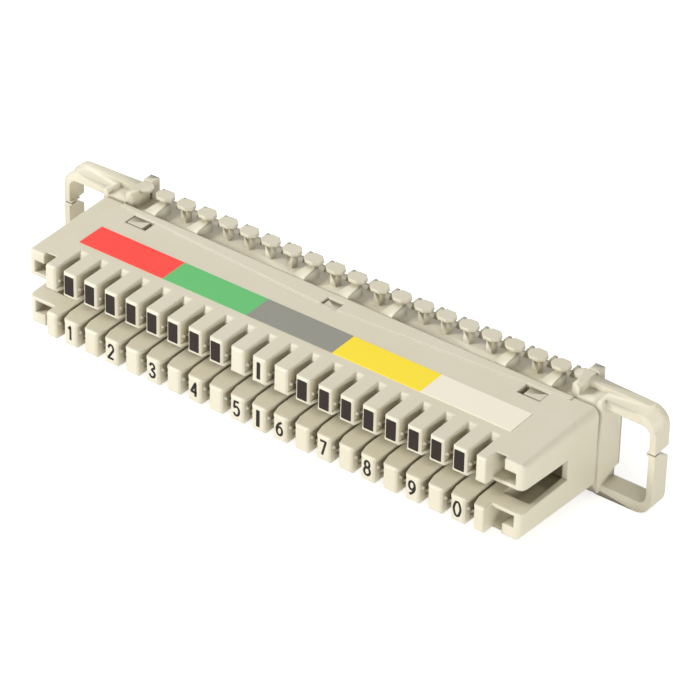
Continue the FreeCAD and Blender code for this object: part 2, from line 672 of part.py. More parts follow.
def contact(label, place, turned):
    """Sheet-metal contact: a forked blade at 45 degrees, a twisted neck, and a tail with a spring arm."""
    body = new_body(label, Rotation(Vector(0, 1, 0), 180 if turned else 0))
    body.setExpression("Placement.Base.x", cells("-%s + %d * pitch" % (SLOT_ONE, place)))
    turn = Rotation(Vector(0, 1, 0), -SIZES["contact_turn"])
    fork = new_sketch(body, label + "_fork", "XY_Plane", turn=turn)
    fork.setExpression("AttachmentOffset.Base.z", cells("contact_level"))
    fork.setExpression("AttachmentOffset.Rotation.Angle", cells("contact_turn"))
    fork.setExpression("AttachmentOffset.Rotation.Axis.y", "-1")
    wide = "blade_wide / 2"
    slit = "blade_slit / 2"
    neck = "neck_wide / 2"
    outline(fork, [("-" + wide, "blade_front"), ("-" + slit, "blade_front"), ("0", "blade_front + blade_slit_deep"),
                   (slit, "blade_front"), (wide, "blade_front"), (wide, "blade_back"), (neck, "neck_back"),
                   ("-" + neck, "neck_back"), ("-" + wide, "blade_back")])
    pad(body, fork, "blade_thick", symmetric=True)
    leg = new_sketch(body, label + "_leg", "YZ_Plane")
    high = "(contact_level + neck_wide / 2)"
    low = "(contact_level - neck_wide / 2)"
    outline(leg, [("twist_back", high), ("twist_back", low), ("arm_front", low), ("arm_reach", "0"),
                  ("arm_reach + arm_pad", "0"), ("arm_front + arm_wide", low), ("tail_back", low),
                  ("tail_back", high)])
    pad(body, leg, "blade_thick", symmetric=True)
    twist = body.newObject("PartDesign::AdditiveLoft", label + "_twist")
    ends = []
    for name, back, angle in (("_neck_end", "neck_back", "90 - contact_turn"), ("_leg_end", "twist_back", "90")):
        end = new_sketch(body, label + name, "XZ_Plane", offset="-" + back, shift=("0", "contact_level"))
        outline(end, turned_corners("neck_wide / 2", "blade_thick / 2", angle))
        ends.append(end)
    twist.Profile = ends[0]
    twist.Sections = ends[1:]
    twist.Ruled = True
    twist.Refine = True
    body.Tip = twist
    return body


def main():
    bodies = [front_housing(), base_carrier(), label_strip()]
    for place in range(int(sheet.get("B%d" % (list(SIZES).index("slots") + 1)))):
        bodies.append(contact("contact_upper_%02d" % (place + 1), place, False))
        bodies.append(contact("contact_lower_%02d" % (place + 1), place, True))
    doc.recompute()
    for item in doc.Objects:
        if "Invalid" in item.State or "Error" in item.State:
            raise RuntimeError("%s did not build: %s" % (item.Label, item.State))
    for body in bodies:
        if body.Shape.isNull() or not body.Shape.isValid() or len(body.Shape.Solids) != 1:
            raise RuntimeError("%s is not one valid solid" % body.Label)
    for body in bodies:
        body.Shape.exportStep("parts/%s.step" % body.Label)


main()
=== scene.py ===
import math

import bmesh
import bpy
from bpy.props import FloatProperty, FloatVectorProperty, PointerProperty
from bpy.types import Operator, Panel, PropertyGroup
from mathutils import Matrix, Vector


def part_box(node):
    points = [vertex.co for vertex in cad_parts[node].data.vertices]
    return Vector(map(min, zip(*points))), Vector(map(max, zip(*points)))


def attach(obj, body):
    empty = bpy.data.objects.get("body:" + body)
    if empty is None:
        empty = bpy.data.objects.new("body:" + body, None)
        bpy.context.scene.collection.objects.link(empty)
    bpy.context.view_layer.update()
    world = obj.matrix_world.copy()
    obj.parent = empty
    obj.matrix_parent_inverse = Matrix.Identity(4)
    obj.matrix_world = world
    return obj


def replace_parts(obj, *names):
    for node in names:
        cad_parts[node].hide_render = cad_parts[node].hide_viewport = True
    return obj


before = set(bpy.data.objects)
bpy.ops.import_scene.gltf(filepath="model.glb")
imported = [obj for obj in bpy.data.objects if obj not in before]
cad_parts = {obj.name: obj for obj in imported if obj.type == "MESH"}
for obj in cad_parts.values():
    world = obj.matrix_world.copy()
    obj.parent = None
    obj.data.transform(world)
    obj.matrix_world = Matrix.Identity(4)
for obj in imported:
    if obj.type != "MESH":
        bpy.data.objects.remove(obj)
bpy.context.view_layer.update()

bl_info = {
    "name": "Punch down wiring block",
    "version": (1, 0, 0),
    "blender": (4, 5, 0),
    "location": "View3D > Sidebar > Wiring block",
    "description": "Finishes, tooth prints and studio for a ten-pair punch down wiring block",
    "category": "Object",
}

# The block lies along X with its tooth fronts facing -Y. Lengths are in metres.

HOUSING_LOW, HOUSING_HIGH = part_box("front_housing")
LABEL_LOW, LABEL_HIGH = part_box("label_strip")
TOOTH_FRONT = HOUSING_LOW.y
MID_LEVEL = (HOUSING_LOW.z + HOUSING_HIGH.z) / 2
CONTACT_NODES = sorted(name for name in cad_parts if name.startswith("contact_"))

# Teeth are counted from the end tooth on the left, 0, to the one on the right, 20.
MIDDLE_TOOTH = 10
BAR_TEETH = (1, 2, 3, 4, 5, 6, 7, 8, 12, 13, 14, 15, 16, 17, 18, 19)
DIGIT_TEETH = {"1": 1, "2": 3, "3": 5, "4": 7, "5": 9, "6": 11, "7": 13, "8": 15, "9": 17, "0": 19}

# Pen strokes of the digits, on a field 1 wide and 2 high. A stroke is (closed, points), and a point is
# (x, z, smooth).
DIGIT_STROKES = {
    "0": [
        (True, [(0.5, 0.0, True), (0.97, 0.6, True), (0.97, 1.4, True), (0.5, 2.0, True),
                (0.03, 1.4, True), (0.03, 0.6, True)]),
    ],
    "1": [
        (False, [(0.2, 1.55, False), (0.58, 2.0, False), (0.58, 0.0, False)]),
    ],
    "2": [
        (False, [(0.02, 1.5, True), (0.48, 2.0, True), (0.95, 1.48, True), (0.6, 0.8, True),
                 (0.0, 0.0, False), (1.0, 0.0, False)]),
    ],
    "3": [
        (False, [(0.04, 1.62, True), (0.46, 2.0, True), (0.9, 1.55, True), (0.42, 1.08, False),
                 (0.97, 0.55, True), (0.46, 0.0, True), (0.0, 0.4, True)]),
    ],
    "4": [
        (False, [(0.75, 0.0, False), (0.75, 2.0, False), (0.0, 0.62, False), (1.0, 0.62, False)]),
    ],
    "5": [
        (False, [(0.9, 2.0, False), (0.16, 2.0, False), (0.08, 1.1, False), (0.5, 1.3, True),
                 (0.97, 0.66, True), (0.46, 0.0, True), (0.0, 0.34, True)]),
    ],
    "6": [
        (False, [(0.86, 1.92, True), (0.3, 1.5, True), (0.02, 0.66, True), (0.5, 0.0, True),
                 (0.97, 0.6, True), (0.5, 1.18, True), (0.06, 0.78, True)]),
    ],
    "7": [
        (False, [(0.0, 2.0, False), (0.96, 2.0, False), (0.36, 0.0, False)]),
    ],
    "8": [
        (True, [(0.5, 1.08, True), (0.88, 1.54, True), (0.5, 2.0, True), (0.12, 1.54, True)]),
        (True, [(0.5, 0.0, True), (0.98, 0.54, True), (0.5, 1.08, True), (0.02, 0.54, True)]),
    ],
    "9": [
        (False, [(0.14, 0.08, True), (0.7, 0.5, True), (0.98, 1.34, True), (0.5, 2.0, True),
                 (0.03, 1.4, True), (0.5, 0.82, True), (0.94, 1.22, True)]),
    ],
}

# Distance of the points that ease a sharp corner, on the digits' field.
CORNER_REACH = 0.12

# Where the photograph's camera stands, and the directions of its picture's right, up and back.
CAMERA_PLACE = (0.344376, -0.461835, 0.392858)
CAMERA_RIGHT = (0.796816, 0.603854, 0.021097)
CAMERA_UP = (-0.348703, 0.431056, 0.832224)
CAMERA_BACK = (0.493448, -0.670486, 0.554038)
CAMERA_LENS = 212.91
CAMERA_SENSOR = 36.0

# Where the two soft lights stand, how wide they are, and how the sky and the floor look.
KEY_PLACE = (-0.55, -0.6, 0.6)
KEY_SIZE = 0.3
SIDE_PLACE = (0.8, -0.55, 0.22)
SIDE_SIZE = 0.4
SKY_COLOUR = (1.0, 0.985, 0.955, 1.0)
FLOOR_ROUGHNESS = 0.9
FLOOR_GLOW = 0.6

# How strongly the masks of the edges and recesses work on the plastic, as a painted highlight on the edges
# and painted shade in the recesses, and how far the painted shade looks into the recesses.
PLASTIC_IOR = 1.52
RECESS_REACH = 0.0025
RECESS_SHADE_WEIGHT = 0.6
EDGE_HIGHLIGHT_WEIGHT = 0.5
EDGE_POLISH = 0.12
GRAIN_HEIGHT = 0.000012

# Noise scales, in cycles per metre.
CLOUD_SCALE = 55.0
FLOW_SCALE = 260.0
LABEL_SPOT_SCALE = 1400.0
LABEL_WIPE_SCALE = 180.0
TARNISH_SCALE = 1100.0
ROLLING_SCALE = 9000.0
INK_SPOT_SCALE = 2600.0

# Merging distance of a CAD node's copy, and how near a corner has to lie to its level or wall to be moved.
MERGE = 1e-7
NEAR = 0.00002
WALL_NEAR = 0.00003


def linear(red, green, blue):
    """Turn the three parts of a screen colour, 0 to 255, into the linear values that shaders take."""
    parts = []
    for part in (red, green, blue):
        part /= 255
        parts.append(part / 12.92 if part <= 0.04045 else ((part + 0.055) / 1.055) ** 2.4)
    return tuple(parts)


def colour(name, text, screen):
    return FloatVectorProperty(name=name, description=text, subtype="COLOR", size=3, min=0, max=1,
                               default=linear(*screen))


def length(name, text, default):
    return FloatProperty(name=name, description=text, default=default, min=0, unit="LENGTH", precision=6)


def share(name, text, default):
    return FloatProperty(name=name, description=text, default=default, min=0, max=1, subtype="FACTOR")


def angle(name, text, degrees):
    return FloatProperty(name=name, description=text, default=math.radians(degrees), min=0, max=math.pi,
                         subtype="ANGLE")


def power(name, text, default):
    return FloatProperty(name=name, description=text, default=default, min=0, unit="POWER")


class PlasticLooks(PropertyGroup):
    base: colour("Plastic", "Colour of the moulded plastic", (221, 215, 195))
    aged: colour("Aged tone", "Warmer tone that the plastic takes in slow, wide clouds", (216, 209, 185))
    # Painted shade: a darker tone laid in the slots and corners where ambient occlusion finds shade.
    recess: colour("Recess tone", "Tone of the plastic deep in its slots and corners", (132, 119, 90))
    # Painted highlight: a lighter tone laid on the open edges.
    edge: colour("Edge tone", "Tone of the worn and polished edges", (240, 236, 221))
    roughness: share("Roughness", "Roughness of the moulded surface", 0.46)
    grain: length("Grain size", "Size of the spark-eroded grain", 0.00022)
    housing_round: length("Housing edges", "Radius that the housing's edges show in the light", 0.0005)
    base_round: length("Base edges", "Radius that the base's edges show in the light", 0.00025)
    housing_smooth: angle("Housing smoothing", "Angle under which the housing's faces blend", 1)
    base_smooth: angle("Base smoothing", "Angle under which the base's faces blend", 30)


class GrooveLooks(PropertyGroup):
    wide: length("Slot width", "Width of the wire slots as they come", 0.00176)
    start: length("Taper start", "Depth behind the tooth fronts at which the taper starts", 0.004)
    end: length("Taper end", "Depth behind the tooth fronts at which the taper ends", 0.0068)
    low: length("Groove floor", "Height over the mid plane above which a groove tapers", 0.0029)
    narrow: share("Narrowing", "Share of the slot's width that is left at the taper's end", 0.4)


class DeckLooks(PropertyGroup):
    high: length("Deck level", "Half thickness of the base's rear deck as it comes", 0.0065)
    low: length("Lowered level", "Half thickness of the rear deck behind the heads", 0.0044)
    behind: length("Step place", "Distance of the step from the tooth fronts", 0.0286)
    run: length("Step run", "Depth over which the deck steps down", 0.00015)
    back: length("Fingers' back", "Distance of the fingers' backs from the tooth fronts", 0.0324)
    finger_high: length("Finger level", "Half height over the rear fingers as they come", 0.0073)
    finger_drop: length("Finger drop", "How far the tops of the rear fingers are lowered", 0.0006)
    half: length("Half length", "Half length of the lowered deck", 0.0491)


class LabelLooks(PropertyGroup):
    first: colour("Field 1", "First field from the left", (255, 80, 73))
    second: colour("Field 2", "Second field", (106, 195, 119))
    third: colour("Field 3", "Third field", (149, 149, 139))
    fourth: colour("Field 4", "Fourth field", (255, 230, 62))
    fifth: colour("Field 5", "Fifth field", (247, 240, 221))
    roughness: share("Roughness", "Roughness of the printed film", 0.5)


class ContactLooks(PropertyGroup):
    plating: colour("Plating", "Colour of the silver plating", (206, 202, 192))
    tarnish: colour("Tarnish", "Colour of the tarnished spots", (150, 138, 112))
    roughness: share("Roughness", "Roughness of the plated sheet metal", 0.32)


class PrintLooks(PropertyGroup):
    ink: colour("Bar ink", "Colour of the printed bars", (36, 26, 20))
    digit_ink: colour("Digit ink", "Colour of the printed digits", (30, 27, 25))
    pitch: length("Tooth pitch", "Distance between two teeth", 0.0045)
    bar_wide: length("Bar width", "Width of the wide bars", 0.002)
    bar_high: length("Bar height", "Height of the wide bars", 0.00375)
    bar_level: length("Bar level", "Height of the bars above the mid plane", 0.00485)
    middle_wide: length("Middle bar width", "Width of the narrow bars on the middle tooth", 0.00075)
    middle_high: length("Middle bar height", "Height of the narrow bars on the middle tooth", 0.0033)
    digit_wide: length("Digit width", "Width between the middles of a digit's outer strokes", 0.0012)
    digit_high: length("Digit height", "Height between the middles of a digit's end strokes", 0.0027)
    digit_level: length("Digit level", "Depth of the digits' middle below the mid plane", 0.0046)
    stroke: length("Stroke", "Width of the digits' pen stroke", 0.00052)
    thick: length("Ink thickness", "How far the ink stands on the plastic", 0.00002)


class StudioLooks(PropertyGroup):
    floor: colour("Floor", "Colour of the studio floor", (250, 250, 250))
    key: power("Key light", "Power of the large soft light in front", 7.0)
    side: power("Side light", "Power of the soft light at the right", 3.8)
    sky: FloatProperty(name="Sky", description="Strength of the light from all round", default=0.44, min=0)
    floor_size: length("Floor size", "Side of the square floor", 6.0)


class BlockLooks(PropertyGroup):
    plastic: PointerProperty(type=PlasticLooks, name="Plastic", description="Looks of the two mouldings")
    groove: PointerProperty(type=GrooveLooks, name="Grooves", description="Taper of the wire grooves")
    deck: PointerProperty(type=DeckLooks, name="Rear deck", description="Step in the base's rear deck")
    label: PointerProperty(type=LabelLooks, name="Label", description="Looks of the label strip")
    contact: PointerProperty(type=ContactLooks, name="Contacts", description="Looks of the contacts")
    prints: PointerProperty(type=PrintLooks, name="Prints", description="Sizes and colours of the prints")
    studio: PointerProperty(type=StudioLooks, name="Studio", description="Floor and lights")


def shaded(tint):
    return (*tint, 1.0)


def new_group(name, inputs, outputs):
    """Start a node group whose sockets are (name, kind, default)."""
    group = bpy.data.node_groups.new(name, "ShaderNodeTree")
    for side, sockets in (("INPUT", inputs), ("OUTPUT", outputs)):
        for title, kind, default in sockets:
            socket = group.interface.new_socket(title, in_out=side, socket_type=kind)
            if default is not None:
                socket.default_value = default
    return group, group.nodes.new("NodeGroupInput"), group.nodes.new("NodeGroupOutput")


def noise(tree, vector, scale, detail, roughness=0.5):
    node = tree.nodes.new("ShaderNodeTexNoise")
    tree.links.new(vector, node.inputs["Vector"])
    if isinstance(scale, bpy.types.NodeSocket):
        tree.links.new(scale, node.inputs["Scale"])
    else:
        node.inputs["Scale"].default_value = scale
    node.inputs["Detail"].default_value = detail
    node.inputs["Roughness"].default_value = roughness
    return node.outputs["Fac"]


def spread(tree, value, low, high, to_low, to_high):
    """Map a value from one range to another and stop at its ends."""
    node = tree.nodes.new("ShaderNodeMapRange")
    tree.links.new(value, node.inputs["Value"])
    for title, number in (("From Min", low), ("From Max", high), ("To Min", to_low), ("To Max", to_high)):
        if isinstance(number, bpy.types.NodeSocket):
            tree.links.new(number, node.inputs[title])
        else:
            node.inputs[title].default_value = number
    return node.outputs["Result"]


def maths(tree, operation, first, second):
    node = tree.nodes.new("ShaderNodeMath")
    node.operation = operation
    for socket, value in zip(node.inputs, (first, second)):
        if isinstance(value, bpy.types.NodeSocket):
            tree.links.new(value, socket)
        else:
            socket.default_value = value
    return node.outputs["Value"]


def blend_colours(tree, factor, first, second):
    node = tree.nodes.new("ShaderNodeMix")
    node.data_type = "RGBA"
    for title, value in (("Factor_Float", factor), ("A_Color", first), ("B_Color", second)):
        socket = [item for item in node.inputs if item.identifier == title][0]
        if isinstance(value, bpy.types.NodeSocket):
            tree.links.new(value, socket)
        else:
            socket.default_value = value
    return [item for item in node.outputs if item.identifier == "Result_Color"][0]


def moulded_grain():
    """Clouded colour, fine grain and roughness of a moulded plastic surface."""
    group, given, made = new_group(
        "moulded_grain",
        (("Place", "NodeSocketVector", None), ("Clean", "NodeSocketColor", None),
         ("Aged", "NodeSocketColor", None), ("Grain Scale", "NodeSocketFloat", 4000.0),
         ("Roughness", "NodeSocketFloat", 0.45)),
        (("Color", "NodeSocketColor", None), ("Roughness", "NodeSocketFloat", None),
         ("Height", "NodeSocketFloat", None)))
    place = given.outputs["Place"]
    clouds = noise(group, place, CLOUD_SCALE, 3.0)
    tone = spread(group, clouds, 0.3, 0.7, 0.0, 1.0)
    tinted = blend_colours(group, tone, given.outputs["Clean"], given.outputs["Aged"])
    grain = noise(group, place, given.outputs["Grain Scale"], 2.0)
    flow = noise(group, place, FLOW_SCALE, 2.0)
    rough = spread(group, flow, 0.3, 0.7, -0.05, 0.06)
    group.links.new(tinted, made.inputs["Color"])
    group.links.new(maths(group, "ADD", given.outputs["Roughness"], rough), made.inputs["Roughness"])
    group.links.new(grain, made.inputs["Height"])
    return group


def rounded_edges():
    """Mask of the edges, which gets a painted highlight, mask of the recesses, which gets painted shade, and
    the normal of softly rounded edges.
    """
    group, given, made = new_group(
        "rounded_edges",
        (("Radius", "NodeSocketFloat", 0.0003), ("Reach", "NodeSocketFloat", 0.002)),
        (("Edge", "NodeSocketFloat", None), ("Recess", "NodeSocketFloat", None),
         ("Normal", "NodeSocketVector", None)))
    bevel = group.nodes.new("ShaderNodeBevel")
    bevel.samples = 6
    group.links.new(given.outputs["Radius"], bevel.inputs["Radius"])
    facing = group.nodes.new("ShaderNodeNewGeometry")
    cosine = group.nodes.new("ShaderNodeVectorMath")
    cosine.operation = "DOT_PRODUCT"
    group.links.new(bevel.outputs["Normal"], cosine.inputs[0])
    group.links.new(facing.outputs["Normal"], cosine.inputs[1])
    turned = spread(group, cosine.outputs["Value"], 0.999, 0.86, 0.0, 1.0)
    hollow = group.nodes.new("ShaderNodeAmbientOcclusion")
    hollow.samples = 8
    group.links.new(given.outputs["Reach"], hollow.inputs["Distance"])
    deep = spread(group, hollow.outputs["AO"], 0.25, 0.85, 1.0, 0.0)
    open_edge = maths(group, "MULTIPLY", turned, maths(group, "SUBTRACT", 1.0, deep))
    group.links.new(open_edge, made.inputs["Edge"])
    group.links.new(deep, made.inputs["Recess"])
    group.links.new(bevel.outputs["Normal"], made.inputs["Normal"])
    return group


def dull_spots():
    """Mask of uneven spots, for tarnish and thin ink."""
    group, given, made = new_group(
        "dull_spots",
        (("Place", "NodeSocketVector", None), ("Scale", "NodeSocketFloat", 900.0),
         ("Amount", "NodeSocketFloat", 0.5)),
        (("Mask", "NodeSocketFloat", None), ("Height", "NodeSocketFloat", None)))
    spots = noise(group, given.outputs["Place"], given.outputs["Scale"], 4.0, 0.6)
    limit = maths(group, "SUBTRACT", 0.8, maths(group, "MULTIPLY", given.outputs["Amount"], 0.4))
    group.links.new(spread(group, spots, limit, 0.85, 0.0, 1.0), made.inputs["Mask"])
    group.links.new(spots, made.inputs["Height"])
    return group


def shared_group(build):
    return bpy.data.node_groups.get(build.__name__) or build()


def use_group(tree, build, **values):
    node = tree.nodes.new("ShaderNodeGroup")
    node.node_tree = shared_group(build)
    for title, value in values.items():
        socket = node.inputs[title.replace("_", " ")]
        if isinstance(value, bpy.types.NodeSocket):
            tree.links.new(value, socket)
        else:
            socket.default_value = value
    return node


def new_material(name):
    """Start a node material and give back its tree, its surface shader and the object's own coordinates."""
    material = bpy.data.materials.new(name)
    material.use_nodes = True
    tree = material.node_tree
    surface = tree.nodes["Principled BSDF"]
    place = tree.nodes.new("ShaderNodeTexCoord").outputs["Object"]
    return material, tree, surface, place


def raise_surface(tree, surface, height, distance, normal=None):
    bump = tree.nodes.new("ShaderNodeBump")
    bump.inputs["Distance"].default_value = distance
    tree.links.new(height, bump.inputs["Height"])
    if normal is not None:
        tree.links.new(normal, bump.inputs["Normal"])
    tree.links.new(bump.outputs["Normal"], surface.inputs["Normal"])


def plastic_material(name, looks, edge_round):
    """Ivory moulded plastic with fine grain, slightly polished edges with a painted highlight, and painted
    shade in the recesses.
    """
    material, tree, surface, place = new_material(name)
    grain = use_group(tree, moulded_grain, Place=place, Clean=shaded(looks.base), Aged=shaded(looks.aged),
                      Grain_Scale=1.0 / looks.grain, Roughness=looks.roughness)
    edges = use_group(tree, rounded_edges, Radius=edge_round, Reach=RECESS_REACH)
    # Painted shade in the recesses, laid by the ambient occlusion mask.
    shade_in_recess = maths(tree, "MULTIPLY", edges.outputs["Recess"], RECESS_SHADE_WEIGHT)
    shade = blend_colours(tree, shade_in_recess, grain.outputs["Color"], shaded(looks.recess))
    # Painted highlight on the open edges, from the edge mask.
    edge_highlight_share = maths(tree, "MULTIPLY", edges.outputs["Edge"], EDGE_HIGHLIGHT_WEIGHT)
    tree.links.new(blend_colours(tree, edge_highlight_share, shade, shaded(looks.edge)), surface.inputs["Base Color"])
    smoother = maths(tree, "MULTIPLY", edges.outputs["Edge"], EDGE_POLISH)
    tree.links.new(maths(tree, "SUBTRACT", grain.outputs["Roughness"], smoother), surface.inputs["Roughness"])
    surface.inputs["IOR"].default_value = PLASTIC_IOR
    raise_surface(tree, surface, grain.outputs["Height"], GRAIN_HEIGHT, edges.outputs["Normal"])
    return material


def label_material(looks):
    """Printed film with five equal colour fields along X."""
    material, tree, surface, place = new_material("label_film")
    apart = tree.nodes.new("ShaderNodeSeparateXYZ")
    tree.links.new(place, apart.inputs["Vector"])
    along = spread(tree, apart.outputs["X"], LABEL_LOW.x, LABEL_HIGH.x, 0.0, 1.0)
    ramp = tree.nodes.new("ShaderNodeValToRGB")
    ramp.color_ramp.interpolation = "CONSTANT"
    fields = (looks.first, looks.second, looks.third, looks.fourth, looks.fifth)
    stops = ramp.color_ramp.elements
    for number, field in enumerate(fields):
        stop = stops[0] if number == 0 else stops.new(number / len(fields))
        stop.color = shaded(field)
    stops.remove(stops[-1])
    tree.links.new(along, ramp.inputs["Fac"])
    spots = use_group(tree, dull_spots, Place=place, Scale=LABEL_SPOT_SCALE, Amount=0.5)
    thin = maths(tree, "MULTIPLY", spots.outputs["Mask"], 0.12)
    pale = blend_colours(tree, thin, ramp.outputs["Color"], (0.9, 0.88, 0.84, 1.0))
    tree.links.new(pale, surface.inputs["Base Color"])
    wipe = noise(tree, place, LABEL_WIPE_SCALE, 3.0)
    tree.links.new(spread(tree, wipe, 0.3, 0.7, looks.roughness - 0.05, looks.roughness + 0.06),
                   surface.inputs["Roughness"])
    surface.inputs["Specular IOR Level"].default_value = 0.25
    raise_surface(tree, surface, spots.outputs["Height"], 0.000006)
    return material


def contact_material(looks):
    """Silver-plated sheet metal with a little tarnish and rolling marks along Y."""
    material, tree, surface, place = new_material("plated_metal")
    spots = use_group(tree, dull_spots, Place=place, Scale=TARNISH_SCALE, Amount=0.9)
    tint = blend_colours(tree, spots.outputs["Mask"], shaded(looks.plating), shaded(looks.tarnish))
    tree.links.new(tint, surface.inputs["Base Color"])
    stretch = tree.nodes.new("ShaderNodeMapping")
    stretch.inputs["Scale"].default_value = (1.0, 0.06, 1.0)
    tree.links.new(place, stretch.inputs["Vector"])
    lines = noise(tree, stretch.outputs["Vector"], ROLLING_SCALE, 2.0)
    tree.links.new(spread(tree, lines, 0.3, 0.7, looks.roughness - 0.06, looks.roughness + 0.1),
                   surface.inputs["Roughness"])
    surface.inputs["Metallic"].default_value = 1.0
    raise_surface(tree, surface, lines, 0.000004)
    return material


def ink_material(name, ink, looks):
    """Pad-printed ink that is a little uneven where it is thin."""
    material, tree, surface, place = new_material(name)
    spots = use_group(tree, dull_spots, Place=place, Scale=INK_SPOT_SCALE, Amount=0.7)
    thin = maths(tree, "MULTIPLY", spots.outputs["Mask"], 0.35)
    worn = blend_colours(tree, thin, shaded(ink), shaded([part * 2.2 for part in ink]))
    tree.links.new(worn, surface.inputs["Base Color"])
    tree.links.new(spread(tree, spots.outputs["Height"], 0.3, 0.7, 0.42, 0.6), surface.inputs["Roughness"])
    surface.inputs["Specular IOR Level"].default_value = 0.2
    raise_surface(tree, surface, spots.outputs["Height"], looks.thick / 4)
    return material


def dress(node_name, material):
    """Give a CAD node's object one material."""
    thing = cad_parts[node_name]
    if not thing.material_slots:
        thing.data.materials.append(material)
    for place in thing.material_slots:
        place.material = material


def finish_piece(mesh, name, material):
    piece = bpy.data.objects.new(name, mesh)
    bpy.context.collection.objects.link(piece)
    piece.data.materials.append(material)
    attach(piece, "root")
    return piece


def add_plate(bm, middle, size, corner):
    """Add a thin upright plate with rounded corners to a mesh."""
    place = Matrix.Translation(middle) @ Matrix.Diagonal((*size, 1.0))
    made = bmesh.ops.create_cube(bm, size=1.0, matrix=place)
    faces = {face for vert in made["verts"] for face in vert.link_faces}
    edges = {edge for face in faces for edge in face.edges}
    across = [edge for edge in edges if abs(edge.verts[0].co.y - edge.verts[1].co.y) > size[1] / 2]
    bmesh.ops.bevel(bm, geom=across, offset=corner, offset_type="OFFSET", segments=2, profile=0.5,
                    affect="EDGES", material=-1)


def tooth_place(looks, tooth, level):
    """Point on a tooth's front face, at the middle of a print."""
    return Vector(((tooth - MIDDLE_TOOTH) * looks.pitch, TOOTH_FRONT, MID_LEVEL + level))


def eased_corners(points):
    """Add a point close to each side of a sharp corner, so that the strokes keep their width up to it."""
    eased = [points[0]]
    for before, corner, after in zip(points, points[1:], points[2:]):
        beside = []
        for end in (before, after):
            part = CORNER_REACH / math.hypot(end[0] - corner[0], end[1] - corner[1])
            across = corner[0] + (end[0] - corner[0]) * part
            up = corner[1] + (end[1] - corner[1]) * part
            beside.append((across, up, False))
        eased += [corner] if corner[2] else [beside[0], corner, beside[1]]
    return [*eased, points[-1]]


def pen_strokes(digit, looks):
    """Curve of a digit's pen strokes, drawn about its own middle in the X-Z plane."""
    curve = bpy.data.curves.new("pen", "CURVE")
    curve.dimensions = "3D"
    curve.resolution_u = 5
    curve.bevel_depth = looks.stroke / 2
    curve.bevel_resolution = 1
    curve.use_fill_caps = True
    for closed, points in DIGIT_STROKES[digit]:
        points = eased_corners(points)
        stroke = curve.splines.new("BEZIER")
        stroke.bezier_points.add(len(points) - 1)
        stroke.use_cyclic_u = closed
        for point, (x, z, smooth) in zip(stroke.bezier_points, points):
            point.co = ((x - 0.5) * looks.digit_wide, 0.0, (z - 1.0) * looks.digit_high / 2)
            point.handle_left_type = "AUTO" if smooth else "VECTOR"
            point.handle_right_type = point.handle_left_type
    return curve


def merged_copy(node_name):
    """Copy a CAD node's triangles into one joined mesh at their place."""
    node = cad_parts[node_name]
    bm = bmesh.new()
    bm.from_mesh(node.data)
    bm.transform(node.matrix_world)
    bmesh.ops.remove_doubles(bm, verts=bm.verts, dist=MERGE)
    return bm


def replace_node(bm, name, node_name, material, smooth_angle):
    """Finish a reshaped copy as the visible piece of its CAD node."""
    bmesh.ops.recalc_face_normals(bm, faces=bm.faces)
    mesh = bpy.data.meshes.new(name)
    bm.to_mesh(mesh)
    bm.free()
    mesh.shade_smooth()
    mesh.set_sharp_from_angle(angle=smooth_angle)
    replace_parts(finish_piece(mesh, name, material), node_name)


def tapered_grooves(bm, looks, pitch):
    """Narrow the wire grooves of a merged copy of the housing towards their rear ends."""
    moved = 0
    for vert in bm.verts:
        depth = vert.co.y - TOOTH_FRONT
        slot = (math.floor(vert.co.x / pitch) + 0.5) * pitch
        aside = vert.co.x - slot
        in_groove = looks.start < depth < looks.end and abs(vert.co.z - MID_LEVEL) > looks.low
        if in_groove and abs(slot) < MIDDLE_TOOTH * pitch and abs(abs(aside) - looks.wide / 2) < WALL_NEAR:
            part = (depth - looks.start) / (looks.end - looks.start)
            vert.co.x = slot + aside * (1 + (looks.narrow - 1) * part)
            moved += 1
    if not moved:
        raise RuntimeError("The housing has no grooves of this width")


def lowered_deck(bm, looks):
    """Step the rear deck of a merged copy of the base down on both sides, behind the heads."""
    step = TOOTH_FRONT + looks.behind
    for place in (step, step + looks.run):
        bmesh.ops.bisect_plane(bm, geom=[*bm.verts, *bm.edges, *bm.faces], dist=1e-8,
                               plane_co=(0.0, place, 0.0), plane_no=(0.0, 1.0, 0.0))
    behind = [vert for vert in bm.verts if vert.co.y > step + looks.run / 2 and abs(vert.co.x) < looks.half]
    deck = [vert for vert in behind if abs(abs(vert.co.z - MID_LEVEL) - looks.high) < NEAR]
    tips = [vert for vert in behind if vert.co.y < TOOTH_FRONT + looks.back
            and looks.high + NEAR < abs(vert.co.z - MID_LEVEL) < looks.finger_high]
    if not deck or not tips:
        raise RuntimeError("The base has no rear deck or no fingers at these levels")
    for vert in deck:
        vert.co.z = MID_LEVEL + math.copysign(looks.low, vert.co.z - MID_LEVEL)
    for vert in tips:
        vert.co.z -= math.copysign(looks.finger_drop, vert.co.z - MID_LEVEL)


class BLOCK_OT_housing(Operator):
    """Replace the front housing with a copy whose wire grooves narrow towards their ends"""

    bl_idname = "wiring_block.housing"
    bl_label = "Housing"
    bl_options = {"REGISTER", "UNDO"}

    def execute(self, context):
        looks = context.scene.wiring_block
        bm = merged_copy("front_housing")
        tapered_grooves(bm, looks.groove, looks.prints.pitch)
        material = plastic_material("housing_plastic", looks.plastic, looks.plastic.housing_round)
        replace_node(bm, "housing_moulding", "front_housing", material,
                     looks.plastic.housing_smooth)
        return {"FINISHED"}


